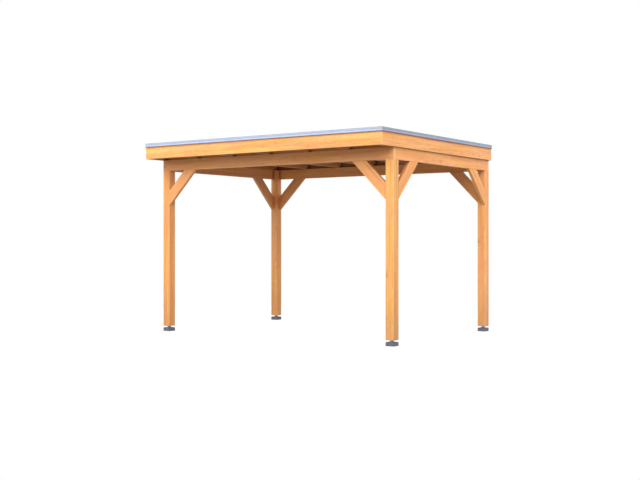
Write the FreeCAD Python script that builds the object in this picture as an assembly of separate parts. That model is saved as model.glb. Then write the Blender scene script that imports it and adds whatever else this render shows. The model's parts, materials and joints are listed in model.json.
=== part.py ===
import FreeCAD, Part
import math
import os

from FreeCAD import Vector

# Free-standing timber veranda with a flat roof, in millimetres.
# The origin is on the ground under the middle of the roof. +X runs to the right along the
# long front, +Y to the back and +Z up. The roof reaches further out at the front.

# Frame of posts and beams
frame_length = 3900.0
frame_depth = 2690.0
beam_underside = 2328.0
post_width = 120.0
beam_height = 152.0
beam_thickness = 45.0

# Feet: a low block, and a threaded adjuster whose nut carries the post
foot_width = 120.0
foot_height = 50.0
foot_chamfer = 3.0
nut_height = 24.0
nut_across_flats = 46.0
nut_chamfer = 2.0
spindle_diameter = 30.0
spindle_reach_in_post = 110.0
spindle_reach_in_foot = 35.0
bore_clearance = 1.0

# Knee braces at 45 degrees, measured along the beam and along the post
brace_leg = 500.0
brace_width = 150.0
brace_thickness = 45.0

# Roof
front_overhang = 300.0
rafter_count = 7
rafter_width = 45.0
rafter_height = 145.0
deck_thickness = 18.0
membrane_thickness = 1.5
roof_upstand = 56.0

# Fascia boards, which start level with the beams' top
fascia_thickness = 28.0

# Metal edge trim: a flange on the fascia and a face in two bands
trim_plate = 3.0
trim_face_height = 50.0
trim_upper_band = 22.0
trim_upper_reach = 6.0
trim_lower_reach = 10.0
trim_flange_lip = 4.0

# Planed timber has its long edges eased by a small flat
edge_ease = 2.5

# Heights worked out from the sizes above
post_bottom = foot_height + nut_height
beam_top = beam_underside + beam_height
rafter_top = beam_top + rafter_height
deck_top = rafter_top + deck_thickness
fascia_bottom = beam_top
fascia_top = deck_top + roof_upstand

# Plan: the roof's outline is centred on the origin, and the frame sits towards the back
frame_right = frame_length / 2
frame_left = -frame_right
roof_edge = fascia_thickness + trim_lower_reach
roof_depth = front_overhang + frame_depth + 2 * roof_edge
frame_back = roof_depth / 2 - roof_edge
frame_front = frame_back - frame_depth
overhang_front = frame_front - front_overhang


def box(x0, x1, y0, y1, z0, z1):
    """A plain box between two corners."""
    return Part.makeBox(x1 - x0, y1 - y0, z1 - z0, Vector(x0, y0, z0))


def bar(start, run, across, upward, width, height):
    """A straight timber with eased long edges.

    start is one corner of its end, run is the whole length as a vector, and the section is
    width along across and height along upward, both unit vectors.
    """
    e = min(edge_ease, width / 4, height / 4)
    section = [
        (e, 0), (width - e, 0), (width, e), (width, height - e),
        (width - e, height), (e, height), (0, height - e), (0, e),
    ]
    points = [start + across * a + upward * u for a, u in section]
    return Part.Face(Part.makePolygon(points + points[:1])).extrude(run)


def timber(x0, x1, y0, y1, z0, z1):
    """A timber between two corners, eased along its longest side."""
    corner = Vector(x0, y0, z0)
    size = Vector(x1 - x0, y1 - y0, z1 - z0)
    x_axis = Vector(1, 0, 0)
    y_axis = Vector(0, 1, 0)
    z_axis = Vector(0, 0, 1)
    longest = max(size.x, size.y, size.z)
    if size.x == longest:
        return bar(corner, x_axis * size.x, y_axis, z_axis, size.y, size.z)
    if size.y == longest:
        return bar(corner, y_axis * size.y, x_axis, z_axis, size.x, size.z)
    return bar(corner, z_axis * size.z, x_axis, y_axis, size.x, size.y)


def corner_signs():
    """Name and outward direction of each corner of the frame."""
    for y_name, y_sign in (("front", -1), ("back", 1)):
        for x_name, x_sign in (("left", -1), ("right", 1)):
            yield f"{y_name}_{x_name}", x_sign, y_sign


def span(outer_face, outward, size):
    """Low and high end of a size measured inwards from an outer face."""
    inner_face = outer_face - outward * size
    return min(outer_face, inner_face), max(outer_face, inner_face)


def frame_face_x(x_sign):
    return x_sign * frame_length / 2


def frame_face_y(y_sign):
    return frame_back if y_sign > 0 else frame_front


def post_centre(x_sign, y_sign):
    x = frame_face_x(x_sign) - x_sign * post_width / 2
    y = frame_face_y(y_sign) - y_sign * post_width / 2
    return x, y


def post(x_sign, y_sign):
    """Post whose head is notched on both outer faces for the beams, with a bored foot."""
    x0, x1 = span(frame_face_x(x_sign), x_sign, post_width)
    y0, y1 = span(frame_face_y(y_sign), y_sign, post_width)
    shape = timber(x0, x1, y0, y1, post_bottom, beam_top)
    notch_x = span(frame_face_x(x_sign), x_sign, beam_thickness)
    notch_y = span(frame_face_y(y_sign), y_sign, beam_thickness)
    shape = shape.cut(box(*notch_x, y0, y1, beam_underside, beam_top))
    shape = shape.cut(box(x0, x1, *notch_y, beam_underside, beam_top))
    bore = spindle_bore(x_sign, y_sign, post_bottom, post_bottom + spindle_reach_in_post)
    return shape.cut(bore)


def spindle_bore(x_sign, y_sign, z0, z1):
    """Round hole with room for the spindle between two heights."""
    centre_x, centre_y = post_centre(x_sign, y_sign)
    radius = spindle_diameter / 2 + bore_clearance
    return Part.makeCylinder(radius, z1 - z0, Vector(centre_x, centre_y, z0))


def foot(x_sign, y_sign):
    """Low block with its upper and upright edges chamfered, and a socket for the spindle."""
    centre_x, centre_y = post_centre(x_sign, y_sign)
    half = foot_width / 2
    block = box(centre_x - half, centre_x + half, centre_y - half, centre_y + half, 0, foot_height)
    above_ground = [edge for edge in block.Edges if edge.BoundBox.ZMax > foot_height / 2]
    block = block.makeChamfer(foot_chamfer, above_ground)
    socket_bottom = foot_height - spindle_reach_in_foot
    return block.cut(spindle_bore(x_sign, y_sign, socket_bottom, foot_height))


def adjuster(x_sign, y_sign):
    """Threaded spindle from the foot into the post, with the six-sided nut between them."""
    centre_x, centre_y = post_centre(x_sign, y_sign)
    nut_base = Vector(centre_x, centre_y, foot_height)
    nut_sides = 6
    corner_radius = nut_across_flats / 2 / math.cos(math.pi / nut_sides)
    corners = []
    for i in range(nut_sides):
        angle = 2 * math.pi * i / nut_sides
        corners.append(nut_base + Vector(math.cos(angle), math.sin(angle), 0) * corner_radius)
    hexagon = Part.Face(Part.makePolygon(corners + corners[:1])).extrude(Vector(0, 0, nut_height))
    blank = Part.makeCylinder(corner_radius, nut_height, nut_base)
    end_circles = [edge for edge in blank.Edges if len(edge.Vertexes) == 1]
    rounded_nut = hexagon.common(blank.makeChamfer(nut_chamfer, end_circles))
    spindle = Part.makeCylinder(
        spindle_diameter / 2,
        spindle_reach_in_foot + nut_height + spindle_reach_in_post,
        nut_base - Vector(0, 0, spindle_reach_in_foot),
    )
    return rounded_nut.fuse(spindle)


def long_beam(y_sign):
    """Front or back beam, the full length of the frame."""
    y0, y1 = span(frame_face_y(y_sign), y_sign, beam_thickness)
    return timber(frame_left, frame_right, y0, y1, beam_underside, beam_top)


def side_beam(x_sign):
    """Left or right beam, between the front and the back beam."""
    x0, x1 = span(frame_face_x(x_sign), x_sign, beam_thickness)
    y0 = frame_front + beam_thickness
    y1 = frame_back - beam_thickness
    return timber(x0, x1, y0, y1, beam_underside, beam_top)


def brace(corner, along, inward):
    """Knee brace under a beam.

    corner is where the post's side, the beam's underside and the outer face meet, along points
    away from the post and inward from the outer face, both unit vectors.
    """
    up = Vector(0, 0, 1)
    lengthwise = (along + up).normalize()
    crosswise = (along - up).normalize()
    outer_gap = brace_leg / math.sqrt(2)
    start = corner + crosswise * (outer_gap - brace_width) - lengthwise * brace_leg
    blank = bar(start, lengthwise * (2 * brace_leg), inward, crosswise, brace_thickness, brace_width)
    reach = brace_leg + brace_width
    outline = [corner, corner + along * reach, corner - up * reach, corner]
    corner_space = Part.Face(Part.makePolygon(outline)).extrude(inward * brace_thickness)
    return blank.common(corner_space)


def long_side_brace(x_sign, y_sign):
    """Brace between a post and the front or back beam."""
    post_side = frame_face_x(x_sign) - x_sign * post_width
    corner = Vector(post_side, frame_face_y(y_sign), beam_underside)
    return brace(corner, Vector(-x_sign, 0, 0), Vector(0, -y_sign, 0))


def short_side_brace(x_sign, y_sign):
    """Brace between a post and the left or right beam."""
    post_side = frame_face_y(y_sign) - y_sign * post_width
    corner = Vector(frame_face_x(x_sign), post_side, beam_underside)
    return brace(corner, Vector(0, -y_sign, 0), Vector(-x_sign, 0, 0))


def rafter(index):
    """Rafter from the front fascia to the back one, counted from the left."""
    spacing = (frame_length - rafter_width) / (rafter_count - 1)
    x0 = frame_left + index * spacing
    return timber(x0, x0 + rafter_width, overhang_front, frame_back, beam_top, rafter_top)


def deck():
    """Roof boards as one sheet on the rafters, inside the fascia."""
    return box(frame_left, frame_right, overhang_front, frame_back, rafter_top, deck_top)


def membrane():
    """Roof skin on the boards, turned up inside the fascia."""
    skin = membrane_thickness
    tray = box(frame_left, frame_right, overhang_front, frame_back, deck_top, fascia_top)
    hollow = box(
        frame_left + skin, frame_right - skin,
        overhang_front + skin, frame_back - skin,
        deck_top + skin, fascia_top,
    )
    return tray.cut(hollow)


def long_fascia(y_sign):
    """Front or back fascia, with its ends showing on the sides."""
    inner_face = frame_back if y_sign > 0 else overhang_front
    y0, y1 = span(inner_face + y_sign * fascia_thickness, y_sign, fascia_thickness)
    x_end = frame_right + fascia_thickness
    return timber(-x_end, x_end, y0, y1, fascia_bottom, fascia_top)


def side_fascia(x_sign):
    """Left or right fascia, between the front and the back one."""
    x0, x1 = span(frame_face_x(x_sign) + x_sign * fascia_thickness, x_sign, fascia_thickness)
    return timber(x0, x1, overhang_front, frame_back, fascia_bottom, fascia_top)


def trim_profile():
    """Section of the trim: distance out from the fascia's outer face, and height."""
    top = fascia_top + trim_plate
    band_bottom = top - trim_upper_band
    bottom = top - trim_face_height
    flange_end = -(fascia_thickness + membrane_thickness + trim_flange_lip)
    return [
        (flange_end, top),
        (trim_upper_reach, top),
        (trim_upper_reach, band_bottom),
        (trim_lower_reach, bottom),
        (trim_lower_reach - trim_plate, bottom),
        (trim_upper_reach - trim_plate, band_bottom),
        (trim_upper_reach - trim_plate, fascia_top),
        (flange_end, fascia_top),
    ]


def mitred_trim(outward, along, face_distance, first_end, last_end):
    """One length of trim, mitred at both ends.

    face_distance is how far the fascia's outer face lies out from the origin, and the ends are
    where that face ends along the side.
    """
    up = Vector(0, 0, 1)
    wires = []
    for end, sign in ((first_end, -1), (last_end, 1)):
        points = []
        for reach, height in trim_profile():
            place = along * (end + sign * reach)
            points.append(place + outward * (face_distance + reach) + up * height)
        wires.append(Part.makePolygon(points + points[:1]))
    return Part.makeLoft(wires, True, True)


def trims():
    """The four lengths of trim, which meet on the corners' diagonals."""
    x_face = frame_right + fascia_thickness
    back_face = frame_back + fascia_thickness
    front_face = overhang_front - fascia_thickness
    x_axis = Vector(1, 0, 0)
    y_axis = Vector(0, 1, 0)
    return {
        "trim_front": mitred_trim(-y_axis, x_axis, -front_face, -x_face, x_face),
        "trim_back": mitred_trim(y_axis, x_axis, back_face, -x_face, x_face),
        "trim_left": mitred_trim(-x_axis, y_axis, x_face, front_face, back_face),
        "trim_right": mitred_trim(x_axis, y_axis, x_face, front_face, back_face),
    }


def veranda():
    """Every piece by the name of its node."""
    pieces = {}
    for name, x_sign, y_sign in corner_signs():
        y_name, x_name = name.split("_")
        pieces[f"foot_{name}"] = foot(x_sign, y_sign)
        pieces[f"adjuster_{name}"] = adjuster(x_sign, y_sign)
        pieces[f"post_{name}"] = post(x_sign, y_sign)
        pieces[f"brace_{y_name}_{x_name}"] = long_side_brace(x_sign, y_sign)
        pieces[f"brace_{x_name}_{y_name}"] = short_side_brace(x_sign, y_sign)
    for y_name, y_sign in (("front", -1), ("back", 1)):
        pieces[f"beam_{y_name}"] = long_beam(y_sign)
        pieces[f"fascia_{y_name}"] = long_fascia(y_sign)
    for x_name, x_sign in (("left", -1), ("right", 1)):
        pieces[f"beam_{x_name}"] = side_beam(x_sign)
        pieces[f"fascia_{x_name}"] = side_fascia(x_sign)
    for index in range(rafter_count):
        pieces[f"rafter_{index + 1}"] = rafter(index)
    pieces["roof_deck"] = deck()
    pieces["roof_membrane"] = membrane()
    pieces.update(trims())
    return pieces


os.makedirs("parts", exist_ok=True)
for node, shape in veranda().items():
    solid = shape if isinstance(shape, Part.Solid) else shape.Solids[0]
    if len(shape.Solids) != 1 or not solid.isValid() or solid.Volume <= 0:
        raise ValueError(f"{node} is not one sound solid")
    solid.exportStep(f"parts/{node}.step")
    print(f"{node}: {solid.Volume / 1e6:.3f} dm3")
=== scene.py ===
"""Looks of a free-standing flat-roofed timber veranda, laid out as an add-on and run as a script.

Metres, +Z up. The timbers, the trim and the adjusters are the construction's own pieces and get
their finish here. The roof boards, the roof skin, the feet and the screws are modelled here.
"""

import json
import math
import random

import bmesh
import bpy
from bpy.props import FloatProperty, FloatVectorProperty, IntProperty, PointerProperty
from mathutils import Matrix, Vector, noise

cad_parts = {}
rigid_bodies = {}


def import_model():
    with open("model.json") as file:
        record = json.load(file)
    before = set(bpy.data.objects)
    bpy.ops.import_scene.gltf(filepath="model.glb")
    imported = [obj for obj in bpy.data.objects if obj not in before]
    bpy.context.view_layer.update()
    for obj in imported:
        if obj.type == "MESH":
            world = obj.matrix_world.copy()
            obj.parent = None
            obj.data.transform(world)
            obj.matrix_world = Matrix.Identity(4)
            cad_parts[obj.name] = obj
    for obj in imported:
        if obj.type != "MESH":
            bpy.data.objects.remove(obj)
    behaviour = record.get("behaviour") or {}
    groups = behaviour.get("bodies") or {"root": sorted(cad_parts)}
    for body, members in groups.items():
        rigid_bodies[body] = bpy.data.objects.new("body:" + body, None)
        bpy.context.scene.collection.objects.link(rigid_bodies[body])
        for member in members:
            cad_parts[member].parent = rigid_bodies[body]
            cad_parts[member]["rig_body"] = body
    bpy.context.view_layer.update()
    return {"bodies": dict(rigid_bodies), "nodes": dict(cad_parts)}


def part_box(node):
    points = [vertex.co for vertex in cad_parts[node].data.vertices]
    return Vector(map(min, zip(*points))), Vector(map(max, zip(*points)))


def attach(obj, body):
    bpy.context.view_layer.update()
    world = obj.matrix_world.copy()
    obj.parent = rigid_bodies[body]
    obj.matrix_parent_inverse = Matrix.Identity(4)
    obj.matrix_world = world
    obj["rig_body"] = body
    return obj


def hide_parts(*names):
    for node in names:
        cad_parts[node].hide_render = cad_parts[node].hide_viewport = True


bl_info = {
    "name": "Timber Veranda",
    "version": (1, 0, 0),
    "blender": (4, 5, 0),
    "location": "View3D > Sidebar > Veranda",
    "description": "Finishes and details of a flat-roofed timber veranda",
    "category": "Object",
}

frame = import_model()

BODY = "root"
CORNERS = ("front_left", "front_right", "back_left", "back_right")
SIDES = ("front", "back", "left", "right")
LONG_SIDES = ("front", "back")
LONG_BRACES = ("brace_front_left", "brace_front_right", "brace_back_left", "brace_back_right")
SHORT_BRACES = ("brace_left_front", "brace_left_back", "brace_right_front", "brace_right_back")
RAFTERS = tuple(sorted(name for name in frame["nodes"] if name.startswith("rafter_")))

X_AXIS = Vector((1, 0, 0))
Y_AXIS = Vector((0, 1, 0))
Z_AXIS = Vector((0, 0, 1))
OUTWARD = {"front": -Y_AXIS, "back": Y_AXIS, "left": -X_AXIS, "right": X_AXIS}

# The sides at the low ends of Y and X
LOW_SIDES = ("front", "left")

# Further than any piece reaches
FAR = 10.0

# Strength and distance of the fir's bump
FIR_BUMP = (0.35, 0.0006)

# Gloss of the rafters and the roof boards
ROOF_TIMBER_GLOSS = 0.15

# Reach and depth of the painted shade where a timber meets another piece, and of the painted shade that
# darkens a post towards its foot
POST_BASE_SHADE = (0.9, 0.23)
POST_AT_BEAM = (0.035, 0.65)
BEAM_AT_POST = (0.044, 0.6)
BRACE_AT_FRAME = (0.016, 0.25)
RAFTER_AT_FRONT_BEAM = (0.04, 1.0)
RAFTER_AT_BACK_BEAM = (0.05, 1.0)
RAFTER_AT_FASCIA = (0.03, 0.6)
FASCIA_AT_RAFTER = (0.026, 0.8)

# Lower and upper face of a tongue, as shares of the roof board's thickness
TONGUE_SHARES = (0.40, 0.66)

# How far a roof board's figure may be shifted along, across and in depth
BOARD_SHIFT = (30, 0.03, 0.02)

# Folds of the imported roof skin, as shares of the way from its middle to its edges
SKIN_FOLDS = (-0.5, 0.0, 0.5)

# Half width and brightening of the creases there, which is painted sheen, and of the dust along the skin's
# upstand
CREASE_SHEEN = (0.011, 0.55)
EDGE_DUST = (0.14, 0.75)


# Settings that a user would change

class TimberSettings(bpy.types.PropertyGroup):
    """Colours and figure of the planed fir."""

    early_colour: FloatVectorProperty(
        name="Early wood", description="Pale wood between the year rings",
        subtype="COLOR", size=3, min=0, max=1, default=(0.97, 0.472, 0.163))
    late_colour: FloatVectorProperty(
        name="Late wood", description="Darker wood of the year rings",
        subtype="COLOR", size=3, min=0, max=1, default=(0.72, 0.262, 0.076))
    # Painted light: the front and back fascia are paler than the side ones, a lit and a shaded copy of one
    # wood
    long_fascia_colour: FloatVectorProperty(
        name="Long fascia early wood", description="Pale wood of the front and the back fascia",
        subtype="COLOR", size=3, min=0, max=1, default=(0.99, 0.600, 0.203))
    side_fascia_colour: FloatVectorProperty(
        name="Side fascia early wood", description="Pale wood of the side fascia boards",
        subtype="COLOR", size=3, min=0, max=1, default=(0.99, 0.520, 0.182))
    knot_colour: FloatVectorProperty(
        name="Knots", description="Heart of a knot",
        subtype="COLOR", size=3, min=0, max=1, default=(0.30, 0.22, 0.12))
    # Painted shade: the rafters are darker than the frame, as if shaded by the roof
    rafter_tone: FloatProperty(
        name="Rafter tone", description="Tone of the rafters against the frame's",
        subtype="FACTOR", min=0.1, max=1, default=0.76)
    # Painted shade: the roof boards are much darker than the frame, as if shaded by the roof
    board_tone: FloatProperty(
        name="Board tone", description="Tone of the roof boards against the frame's",
        subtype="FACTOR", min=0.1, max=1, default=0.41)
    # Painted shade: darkens the fascia boards' inner faces and lower edges
    raw_tone: FloatProperty(
        name="Raw tone", description="Tone of the fascia boards' unfinished inner faces and lower edges",
        subtype="FACTOR", min=0.1, max=1, default=0.32)
    near_post_colour: FloatVectorProperty(
        name="Front right post early wood", description="Pale wood of the front right post",
        subtype="COLOR", size=3, min=0, max=1, default=(0.99, 0.525, 0.174))
    # Painted shade: the front right post's right face is darker
    near_post_side_tone: FloatProperty(
        name="Front right post side tone", description="Tone of that post's darker right face",
        subtype="FACTOR", min=0.1, max=1, default=0.88)
    end_colour: FloatVectorProperty(
        name="End grain", description="Pale end grain of the beams and the fascia boards",
        subtype="COLOR", size=3, min=0, max=1, default=(1.0, 0.58, 0.27))
    ring_width: FloatProperty(
        name="Ring width", description="Distance between two year rings",
        unit="LENGTH", min=0.001, max=0.02, default=0.0046)
    knot_radius: FloatProperty(
        name="Knot radius", description="Radius of a middling knot",
        unit="LENGTH", min=0.002, max=0.05, default=0.013)
    # Painted shade: what the painted contact shade in a joint leaves of the wood's colour
    painted_joint_shade: FloatVectorProperty(
        name="Painted joint shade", description="What the dirt in a joint leaves of the wood's colour",
        subtype="COLOR", size=3, min=0, max=1, default=(0.10, 0.16, 0.20))
    # Painted shade: the braces' upper edges are darker, as if in shade
    upper_edge_tone: FloatProperty(
        name="Upper edge tone", description="Tone of the dusty upper edges of the braces",
        subtype="FACTOR", min=0.1, max=1, default=0.56)
    brace_width: FloatProperty(
        name="Brace width", description="Width of a knee brace, measured across its grain",
        unit="LENGTH", min=0.03, max=0.4, default=0.150)
    arris_ease: FloatProperty(
        name="Arris ease", description="How far the ends and the notches of the timbers are eased",
        unit="LENGTH", min=0.0005, max=0.008, default=0.003)


class RoofSettings(bpy.types.PropertyGroup):
    """Roof boards, roof skin and edge trim."""

    board_cover: FloatProperty(
        name="Board cover", description="Width that one tongue and groove board covers",
        unit="LENGTH", min=0.05, max=0.3, default=0.096)
    board_chamfer: FloatProperty(
        name="Board chamfer", description="Chamfer on the boards' lower edges, which makes the V joint",
        unit="LENGTH", min=0.0005, max=0.008, default=0.003)
    board_gap: FloatProperty(
        name="Board gap", description="Open joint between two boards",
        unit="LENGTH", min=0.0001, max=0.004, default=0.0008)
    tongue: FloatProperty(
        name="Tongue", description="How far a tongue reaches into the next board",
        unit="LENGTH", min=0.001, max=0.012, default=0.005)
    skin_thickness: FloatProperty(
        name="Skin thickness", description="Thickness of the rubber roof skin",
        unit="LENGTH", min=0.0005, max=0.01, default=0.0015)
    skin_bend: FloatProperty(
        name="Skin bend", description="Radius where the skin turns up against the fascia",
        unit="LENGTH", min=0.003, max=0.03, default=0.012)
    skin_crease: FloatProperty(
        name="Skin crease", description="Height of the creases left where the skin lay folded",
        unit="LENGTH", min=0, max=0.01, default=0.0022)
    skin_colour: FloatVectorProperty(
        name="Skin", description="Rubber sheet",
        subtype="COLOR", size=3, min=0, max=1, default=(0.028, 0.029, 0.032))
    trim_colour: FloatVectorProperty(
        name="Edge trim", description="Blue-grey coated metal of the roof edge",
        subtype="COLOR", size=3, min=0, max=1, default=(0.484, 0.562, 0.750))
    # Painted shade: the side lengths of trim are darker copies of the long ones
    trim_side_shade_tone: FloatProperty(
        name="Trim side tone", description="Tone of the side lengths of trim against the long ones",
        subtype="FACTOR", min=0.3, max=1.2, default=0.645)
    trim_upper_band: FloatProperty(
        name="Upper band", description="Height of the trim's upper band",
        unit="LENGTH", min=0.005, max=0.04, default=0.022)


class FootSettings(bpy.types.PropertyGroup):
    """Concrete feet and steel adjusters."""

    round_edge: FloatProperty(
        name="Rounded edge", description="Radius of the block's upper and upright edges",
        unit="LENGTH", min=0.001, max=0.02, default=0.0025)
    pore_count: IntProperty(
        name="Pores", description="Air pores in the faces of one block",
        min=0, max=200, default=46)
    pore_radius: FloatProperty(
        name="Pore radius", description="Radius of the largest pore",
        unit="LENGTH", min=0.0005, max=0.01, default=0.0032)
    concrete_colour: FloatVectorProperty(
        name="Concrete", description="Dark grey concrete",
        subtype="COLOR", size=3, min=0, max=1, default=(0.109, 0.116, 0.137))
    steel_colour: FloatVectorProperty(
        name="Steel", description="Galvanised steel of the adjusters",
        subtype="COLOR", size=3, min=0, max=1, default=(0.20, 0.25, 0.33))


class FixingSettings(bpy.types.PropertyGroup):
    """Screws that hold the timbers."""

    head_radius: FloatProperty(
        name="Head radius", description="Radius of a screw head",
        unit="LENGTH", min=0.001, max=0.01, default=0.0042)
    head_rise: FloatProperty(
        name="Head rise", description="How far a head stands proud of the timber",
        unit="LENGTH", min=0.0002, max=0.004, default=0.0009)
    fascia_spacing: FloatProperty(
        name="Fascia spacing", description="Distance between the screws along a side fascia",
        unit="LENGTH", min=0.1, max=2, default=0.6)
    edge_distance: FloatProperty(
        name="Edge distance", description="Least distance of a screw from a timber's edge",
        unit="LENGTH", min=0.005, max=0.1, default=0.030)
    screw_colour: FloatVectorProperty(
        name="Screws", description="Yellow-passivated screw heads",
        subtype="COLOR", size=3, min=0, max=1, default=(0.52, 0.33, 0.14))


class StageSettings(bpy.types.PropertyGroup):
    """Camera, lights and floor."""

    camera_place: FloatVectorProperty(
        name="Camera", description="Where the camera stands",
        subtype="TRANSLATION", unit="LENGTH", size=3, default=(8.499, -12.170, 1.323))
    camera_turn: FloatProperty(
        name="Camera turn", description="Turn of the level camera from the long front's axis",
        unit="ROTATION", default=math.radians(34.93))
    camera_lens: FloatProperty(
        name="Focal length", description="Focal length on a 36 mm sensor, in millimetres",
        min=10, max=300, default=57.81)
    sun_height: FloatProperty(
        name="Sun height", description="Height of the main light above the horizon",
        unit="ROTATION", default=math.radians(28))
    sun_turn: FloatProperty(
        name="Sun turn", description="Turn of the main light from the front towards the right",
        unit="ROTATION", default=math.radians(31.5))
    sun_width: FloatProperty(
        name="Sun width", description="Angle that the main light fills, which softens its shadows",
        unit="ROTATION", default=math.radians(45))
    sun_strength: FloatProperty(
        name="Sun strength", description="Strength of the main light", min=0, default=1.82)
    sky_strength: FloatProperty(
        name="Sky strength", description="Strength of the light from overhead", min=0, default=1.38)
    surround_strength: FloatProperty(
        name="Surround strength", description="Strength of the light from the horizon and below",
        min=0, default=0.62)
    floor_colour: FloatVectorProperty(
        name="Floor", description="Colour of the floor that throws light back up",
        subtype="COLOR", size=3, min=0, max=1, default=(0.205, 0.222, 0.240))
    floor_shadow: FloatProperty(
        name="Floor shadow", description="Share of the floor's look that takes light and shadow",
        subtype="FACTOR", min=0, max=1, default=0.16)
    floor_radius: FloatProperty(
        name="Floor radius", description="Radius of the round floor",
        unit="LENGTH", min=5, default=6)


class VerandaSettings(bpy.types.PropertyGroup):
    """All settings of the veranda."""

    timber: PointerProperty(type=TimberSettings)
    roof: PointerProperty(type=RoofSettings)
    feet: PointerProperty(type=FootSettings)
    fixings: PointerProperty(type=FixingSettings)
    stage: PointerProperty(type=StageSettings)


# Shader nodes

class NodeBench:
    """Adds shader nodes to one tree and wires them."""

    def __init__(self, tree):
        self.tree = tree

    def wire(self, inputs, values):
        """Gives inputs, by name or number, a value or a link from another node's output."""
        for key, value in values.items():
            if isinstance(value, bpy.types.NodeSocket):
                self.tree.links.new(value, inputs[key])
            else:
                inputs[key].default_value = value

    def add(self, kind, inputs=None, **settings):
        node = self.tree.nodes.new(kind)
        for name, value in settings.items():
            setattr(node, name, value)
        self.wire(node.inputs, inputs or {})
        return node

    def math(self, operation, first, second=0.0):
        return self.add("ShaderNodeMath", {0: first, 1: second}, operation=operation).outputs[0]

    def total(self, start, *terms):
        """start and the terms added up, each of which is a value and its weight."""
        amount = start
        for value, weight in terms:
            amount = self.math("ADD", amount, self.math("MULTIPLY", value, weight))
        return amount

    def vector(self, operation, first, second=(0, 0, 0)):
        node = self.add("ShaderNodeVectorMath", {0: first, 1: second}, operation=operation)
        return node.outputs["Value" if operation == "LENGTH" else "Vector"]

    def scaled(self, vector, factor):
        node = self.add("ShaderNodeVectorMath", {0: vector, "Scale": factor}, operation="SCALE")
        return node.outputs["Vector"]

    def parts(self, vector):
        """X, Y and Z of a vector."""
        return self.add("ShaderNodeSeparateXYZ", {0: vector}).outputs

    def step(self, value, start, end):
        """0 at start, rising smoothly to 1 at end, which may be the lower of the two."""
        inputs = {"Value": value, "From Min": start, "From Max": end}
        return self.add("ShaderNodeMapRange", inputs, interpolation_type="SMOOTHSTEP").outputs[0]

    def noise(self, place, scale, detail=2.0, distortion=0.0):
        inputs = {"Vector": place, "Scale": scale, "Detail": detail, "Distortion": distortion}
        return self.add("ShaderNodeTexNoise", inputs).outputs[0]

    def grain(self, place, along, across, detail=2.0, distortion=0.0):
        """Noise drawn out along X, with so many waves a metre along it and across it."""
        drawn_out = self.vector("MULTIPLY", place, (along, across, across))
        return self.noise(drawn_out, 1.0, detail, distortion)

    def mix(self, factor, first, second, blend_type="MIX"):
        """Two colours mixed, whose sockets are inputs 6 and 7 and output 2."""
        inputs = {0: factor, 6: first, 7: second}
        return self.add("ShaderNodeMix", inputs, data_type="RGBA", blend_type=blend_type).outputs[2]

    def tinted(self, colour, tint):
        """A colour times another."""
        return self.mix(1.0, colour, tint, blend_type="MULTIPLY")


def rgba(colour):
    """A colour with full alpha."""
    return (*colour, 1.0)


def shader_group(name, inputs, outputs, make_nodes):
    """The shader group of that name, which make_nodes fills when it is first asked for."""
    if name in bpy.data.node_groups:
        return bpy.data.node_groups[name]
    tree = bpy.data.node_groups.new(name, "ShaderNodeTree")
    for in_out, sockets in (("INPUT", inputs), ("OUTPUT", outputs)):
        for socket_name, kind in sockets.items():
            tree.interface.new_socket(socket_name, in_out=in_out, socket_type=f"NodeSocket{kind}")
    bench = NodeBench(tree)
    source = bench.add("NodeGroupInput").outputs
    target = bench.add("NodeGroupOutput").inputs
    bench.wire(target, make_nodes(bench, source))
    return tree


def timber_group():
    """Planed fir. Place is in the timber's own axes, with X along the grain and 0 in its middle."""
    return shader_group(
        "Planed fir",
        {"Place": "Vector", "Shift": "Vector", "Pith": "Vector", "Half Section": "Vector",
         "Ring Width": "Float", "Knot Radius": "Float", "Tone": "Float", "Shaded Side": "Vector",
         "Shaded Tone": "Float", "Cover Height": "Float", "Early Colour": "Color",
         "Late Colour": "Color", "Knot Colour": "Color", "End Colour": "Color"},
        {"Color": "Color", "Roughness": "Float", "Height": "Float"},
        planed_fir)


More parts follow.
